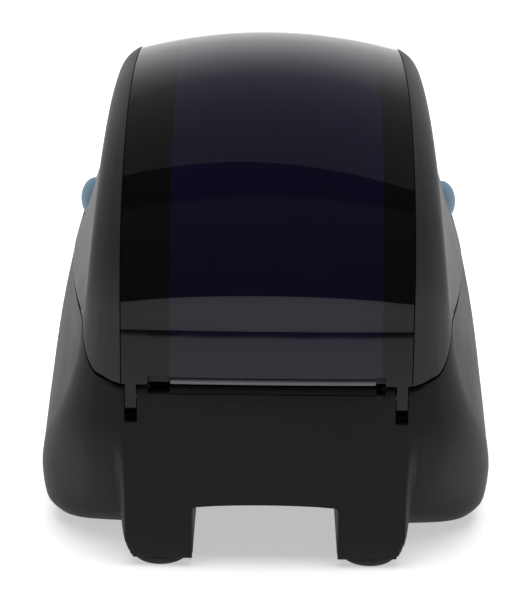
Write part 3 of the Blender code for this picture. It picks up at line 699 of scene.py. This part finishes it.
def apron_places(columns):
    """The place round a section that each column of the lid hangs above."""
    flat = [place_at_x(x) for x in spread(PANEL_STOPS, PANEL_COUNTS) + [CHEEK_START]]
    flat.append((flat[-1] + CORNER_START) / 2)
    corner = [CORNER_START + CORNER_SPAN * step / CORNER_STEPS for step in range(CORNER_STEPS)]
    cheek = np.linspace(CORNER_END, CORNER_END + 0.25, columns - len(flat) - len(corner))
    return [*flat, *corner, *cheek]


def lid_edge(place):
    """The height of the lid's lower edge, above the seam by a gap that narrows round the corner."""
    gap = SEAM_GAP_SIDE + (SEAM_GAP_REAR - SEAM_GAP_SIDE) * smooth_step((CORNER_END - place) / CORNER_SPAN)
    return min(FOOT_Z, seam_height(place) + gap)


def lid_skin():
    """The lid's outside, in rows from the rear edge over the top to the front."""
    first = rear_arch(0.0)
    places = apron_places(len(first))
    rows = []
    for step in range(APRON_STEPS):
        row = []
        for place, point in zip(places, first):
            low = lid_edge(place)
            z = low + (FOOT_Z - low) * step / APRON_STEPS
            x, y = section_point(z, place)
            top_x, top_y = section_point(FOOT_Z, place)
            weight = ((z - SEAM_REAR) / (FOOT_Z - SEAM_REAR)) ** 2
            row.append((x + weight * (point[0] - top_x), y + weight * (point[1] - top_y), z))
        rows.append(np.array(row))
    rows += [rear_arch(math.radians(90) * step / REAR_STEPS) for step in range(REAR_STEPS + 1)]
    rows += [front_arch(math.radians(90) * step / FRONT_STEPS) for step in range(1, FRONT_STEPS + 1)]
    half = np.array(rows)
    other = half[:, :0:-1] * np.array([-1, 1, 1])
    return np.concatenate([other, half], axis=1)


def lid_frame(skin):
    """The matt cheeks, the front and the seat under the smoked panel."""
    across = skin[APRON_STEPS, :, 0]
    rows = np.arange(len(skin))[:, None]
    seated = (np.abs(across) < PANEL_HALF + 0.1)[None, :] & (rows <= PANEL_END)
    backed = (np.abs(across) < CHEEK_START + 0.1)[None, :] & (rows <= PANEL_END + 1)
    outer = normal_inset(skin, np.where(seated, 2.6, 0.0))
    inner = normal_inset(skin, np.where(backed, 4.8, WALL))

    def keep(row, column):
        middle = (across[column] + across[column + 1]) / 2
        return not (1 <= row < CLEAR_END and WINDOW_RIGHT < middle < WINDOW_LEFT)

    made = add_piece("lid_frame", wall_form(outer, inner, keep, False), "lid", "lid_plastic", "lid")
    for side in (1, -1):
        profile = [(-12, BUTTON_RADIUS + 0.35), (12, BUTTON_RADIUS + 0.35)]
        cut(made, turned_form(profile, (side * 60, BUTTON_Y, BUTTON_Z), "X"))
    finish_shell(made)
    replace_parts(made, "lid_shell")


def smoked_panel(skin):
    """The glossy panel over the roll, clear in the middle and masked black round it."""
    across = skin[APRON_STEPS, :, 0]
    skin = skin[: PANEL_END + 1, np.abs(across) < PANEL_HALF + 0.1]
    across = skin[APRON_STEPS, :, 0]
    inner = normal_inset(skin, np.full(skin.shape[:2], 2.2))
    form = wall_form(skin, inner, lambda row, column: True, False)
    made = add_piece("smoked_panel", form, "lid", "smoked_panel", "masked", "clear")
    top_y = skin[CLEAR_END].mean(axis=0)[1]
    for face in made.data.polygons:
        middle = face.center / MM
        in_window = WINDOW_RIGHT < middle.x < WINDOW_LEFT and middle.z > SEAM_REAR + 3
        face.material_index = int(in_window and middle.y > top_y)
    tongue_middle = (TONGUE_INNER + TONGUE_OUTER) / 2
    heights = [62.5, 60, 57.5, 55, 53]
    outline = [(rear_y(tongue_middle, z) - 0.15, z) for z in heights]
    outline += [(rear_y(tongue_middle, 52) - 1.0, 52.0), (94.2, 52.0), (93.4, 52.8)]
    outline += [(93.4, 59.2), (98.3, 60.1), (98.3, 62.5)]
    for side in (1, -1):
        ends = sorted((side * TONGUE_INNER, side * TONGUE_OUTER))
        cut(made, prism_form(outline, "X", *ends), "UNION")
        bore = turned_form([(-3, 1.3), (3, 1.3)], (side * tongue_middle, AXIS_Y, AXIS_Z), "X", 24)
        cut(made, bore)
    cut(made, slab_form((WINDOW_RIGHT + 1.5, 90, 55), (WINDOW_LEFT, 106, LIP_TOP)))
    for low, high in ((WINDOW_LEFT, INLET_HALF), (-INLET_HALF, WINDOW_RIGHT + 1.5)):
        cut(made, slab_form((low, 96, 55), (high, 106, LIP_TOP + 0.5)))
    finish_shell(made, 0.3)
    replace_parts(made, "lid_window")


def inlet_lip():
    """The rounded strip under the clear window, that fan-fold labels slide in over; its pale colour is a
    painted highlight.
    """
    left, right = WINDOW_LEFT - 0.3, WINDOW_RIGHT + 1.8
    section = [
        (-2.2, 0.25), (-0.9, 0.1), (-0.35, -0.15), (-0.12, -0.6), (-0.05, -1.1), (-0.3, -1.9), (-2.2, -1.9)
    ]
    form = bmesh.new()
    loops = []
    for x in np.linspace(left, right, 25):
        middle = (x, rear_y(x, LIP_TOP), LIP_TOP - 0.4)
        loops.append([form.verts.new(Vector(middle) + Vector((0, y, z))) for y, z in section])
    # Painted highlight: the lip's finish is black lightened 4.2 times to stand in for the light on its
    # rounded top.
    soften(add_piece("inlet_lip", close_loops(form, loops), "lid", "lid_plastic", "lip_painted_highlight"), 0.12)


# ---------------------------------------------------------------- buttons and feet


def dome(radius, start, shoulder, crown):
    """Half the profile of a cap: straight to its shoulder, then an elliptical dome."""
    points = [(start, radius)]
    for step in range(16):
        angle = math.radians(90) * step / 16
        points.append((shoulder + crown * math.sin(angle), radius * math.cos(angle)))
    return points


def release_button(word, side):
    """A pale domed cap, proud of the cheek, with a flange inside it."""
    flange = [(57.2, 6.2), (57.2, BUTTON_RADIUS), (57.8, BUTTON_RADIUS)]
    profile = flange + dome(BUTTON_RADIUS - 0.1, 58, 60.2, 5.0)
    form = turned_form([(side * along, radius) for along, radius in profile], (0, BUTTON_Y, BUTTON_Z), "X")
    made = add_piece(f"release_cap_{word}", form, f"release_button_{word}", "button_plastic", "button")
    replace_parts(made, f"release_button_{word}")


def box_in_mm(name):
    """A CAD node's lowest and highest corner, in millimetres."""
    return [Vector(corner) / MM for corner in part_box(name)]


def feed_cap():
    low, high = box_in_mm("feed_button")
    centre = (low + high) / 2
    radius = (high.x - low.x) / 2
    profile = [(-along, size) for along, size in dome(radius, -high.y, -low.y - 1.2, 1.2)]
    form = turned_form(profile, (centre.x, 0, centre.z), "Y")
    made = add_piece("feed_cap", form, "feed_button", "button_plastic", "button")
    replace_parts(made, "feed_button")


def foot_pad(name):
    """A round rubber foot with a rolled edge and a shallow tread, standing where the CAD foot is."""
    low, high = box_in_mm(name)
    middle = (low + high) / 2
    radius = (high.x - low.x) / 2
    profile = [(high.z, 0.5), (high.z, radius - 0.2), (high.z - 0.2, radius), (1.3, radius)]
    for step in range(1, 7):
        angle = math.radians(90) * step / 6
        profile.append((1.3 * (1 - math.sin(angle)), radius - 1.3 * (1 - math.cos(angle))))
    profile += [(0.0, radius - 2.2), (0.25, radius - 2.5), (0.25, 0.5)]
    form = turned_form(profile, (middle.x, middle.y, 0), "Z")
    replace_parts(add_piece(name.replace("foot", "foot_pad"), form, "base", "foot_rubber", "foot"), name)


# ---------------------------------------------------------------- front details

PLATE_HALF_X = 22
PLATE_HALF_Z = 9.5
PLATE_CORNER = 9
PLATE_PROUD = 0.4
PLATE_SUNK = 0.8
TOOTH_COUNT = 56


def rounded_outline(half_x, half_z, middle_z, radius, steps=8):
    """A rectangle with round corners in the plane of x and z, round x = 0."""
    points = []
    for corner, (sign_x, sign_z) in enumerate(((1, 1), (-1, 1), (-1, -1), (1, -1))):
        for step in range(steps + 1):
            angle = math.radians(90) * (corner + step / steps)
            x = sign_x * (half_x - radius) + radius * math.cos(angle)
            points.append((x, middle_z + sign_z * (half_z - radius) + radius * math.sin(angle)))
    return points


def control_plate():
    """A thin glossy plate round the feed button and the status lights."""
    outline = rounded_outline(PLATE_HALF_X, PLATE_HALF_Z, FEED_Z, PLATE_CORNER)
    form = prism_form(outline, "Y", FRONT - PLATE_PROUD, FRONT + PLATE_SUNK)
    made = add_piece("control_plate", form, "base", "smoked_panel", "masked")
    for x, radius, sides in ((0, FEED_BORE, 48), (STATUS_X, STATUS_BORE, 24), (-STATUS_X, STATUS_BORE, 24)):
        cut(made, turned_form([(-3, radius), (3, radius)], (x, FRONT, FEED_Z), "Y", sides))
    finish_shell(made, 0.3)


def light_lenses():
    """Domed lenses on the ends of the two light guides."""
    profile = [(-along, radius) for along, radius in dome(1.5, -FRONT - 0.3, -FRONT, 0.5)]
    for word in ("left", "right"):
        low, high = box_in_mm(f"status_light_{word}")
        middle = (low + high) / 2
        form = turned_form(profile, (middle.x, 0, middle.z), "Y", 32)
        add_piece(f"light_lens_{word}", form, "base", "light_guide", "light")


def tear_teeth():
    """The saw-toothed edge of the tear bar."""
    low, high = box_in_mm("tear_bar")
    pitch = (high.x - low.x) / TOOTH_COUNT
    root = low.z + 0.5
    outline = [(low.x, root)]
    for number in range(TOOTH_COUNT):
        left = low.x + number * pitch
        outline += [(left + pitch / 2, low.z - 0.7), (left + pitch, root)]
    outline += [(high.x, high.z), (low.x, high.z)]
    form = prism_form(outline, "Y", low.y - 0.25, low.y - 0.05)
    add_piece("tear_teeth", form, "lid", "steel", "steel")


# ---------------------------------------------------------------- stage

PALE = (0.75, 0.75, 0.75)
DARK = (0.05, 0.05, 0.055)


def stage_sheet(name, size, place, turn, colour, glow=0.0):
    """A plain sheet of the studio, lying flat before it is turned and placed."""
    mesh = bpy.data.meshes.new(name)
    x, y = size[0] / 2, size[1] / 2
    mesh.from_pydata([(-x, -y, 0), (x, -y, 0), (x, y, 0), (-x, y, 0)], [], [(0, 1, 2, 3)])
    made = linked(name, mesh)
    made.location = place
    made.rotation_euler = [math.radians(angle) for angle in turn]
    surface, _, shader = new_material(name)
    shader.inputs["Base Color"].default_value = (*colour, 1.0)
    shader.inputs["Roughness"].default_value = 0.9
    shader.inputs["Emission Color"].default_value = (1.0, 1.0, 1.0, 1.0)
    shader.inputs["Emission Strength"].default_value = glow
    mesh.materials.append(surface)
    return made


def soft_light(name, size, place, power, aim=(0, 0, 0.07)):
    """A large lamp aimed at the part, that doesn't show in its reflections."""
    data = bpy.data.lights.new(name, "AREA")
    data.shape = "RECTANGLE"
    data.size, data.size_y = size
    data.energy = power
    made = linked(name, data)
    made.location = place
    made.rotation_euler = (Vector(aim) - Vector(place)).to_track_quat("-Z", "Y").to_euler()
    made.visible_glossy = False


def fading_world():
    """Even white light from all round, dimmer overhead."""
    world = bpy.data.worlds.new("studio")
    world.use_nodes = True
    tree = world.node_tree
    background = tree.nodes["Background"]
    background.inputs["Strength"].default_value = 0.9
    place = tree.nodes.new("ShaderNodeTexCoord")
    split = tree.nodes.new("ShaderNodeSeparateXYZ")
    tree.links.new(place.outputs["Generated"], split.inputs["Vector"])
    fade = ramp(tree, split.outputs["Z"], (1.0, 1.0, 1.0), (0.36, 0.36, 0.38), 0.05, 0.62)
    tree.links.new(fade, background.inputs["Color"])
    bpy.context.scene.world = world
    bpy.context.scene.view_settings.view_transform = "Standard"


def studio():
    """A pale floor, two soft lamps, and two dark flags that show only in reflections and shade."""
    fading_world()
    stage_sheet("floor", (6, 6), (0, 0, 0), (0, 0, 0), PALE, glow=0.5)
    rear = stage_sheet("rear_flag", (3.2, 1.9), (0, 0.95, 0.95), (90, 0, 0), DARK)
    roof = stage_sheet("roof_flag", (3.2, 0.8), (0, 0.72, 1.9), (0, 0, -12), DARK)
    for flag in (rear, roof):
        flag.visible_camera = False
    soft_light("overhead", (1.8, 1.4), (0, 0.1, 1.7), 30)
    soft_light("front_fill", (2.0, 1.0), (0, -1.4, 1.3), 14)


CAMERA_TARGET = Vector((0.0006, 0, 0.0521))
CAMERA_DISTANCE = 0.740
CAMERA_ELEVATION = math.radians(20.0)
CAMERA_ROLL = math.radians(0.6)
CAMERA_LENS = 125.1
CAMERA_FILM = 36


def camera():
    """A long lens behind the part, looking slightly down."""
    data = bpy.data.cameras.new("camera")
    data.sensor_width = CAMERA_FILM
    data.lens = CAMERA_LENS
    data.sensor_fit = "VERTICAL"
    data.sensor_height = CAMERA_FILM
    made = linked("camera", data)
    away = Vector((0, math.cos(CAMERA_ELEVATION), math.sin(CAMERA_ELEVATION)))
    made.location = CAMERA_TARGET + CAMERA_DISTANCE * away
    level = (-away).to_track_quat("-Z", "Y")
    roll = Matrix.Rotation(CAMERA_ROLL, 3, "Z").to_quaternion()
    made.rotation_euler = (level @ roll).to_euler()
    bpy.context.scene.camera = made


camera()
studio()
dress_carried_nodes()
case_shell()
LID = lid_skin()
lid_frame(LID)
smoked_panel(LID)
inlet_lip()
release_button("left", 1)
release_button("right", -1)
feed_cap()
for pad in ("foot_rear_left", "foot_rear_right", "foot_front_left", "foot_front_right"):
    foot_pad(pad)
control_plate()
light_lenses()
tear_teeth()
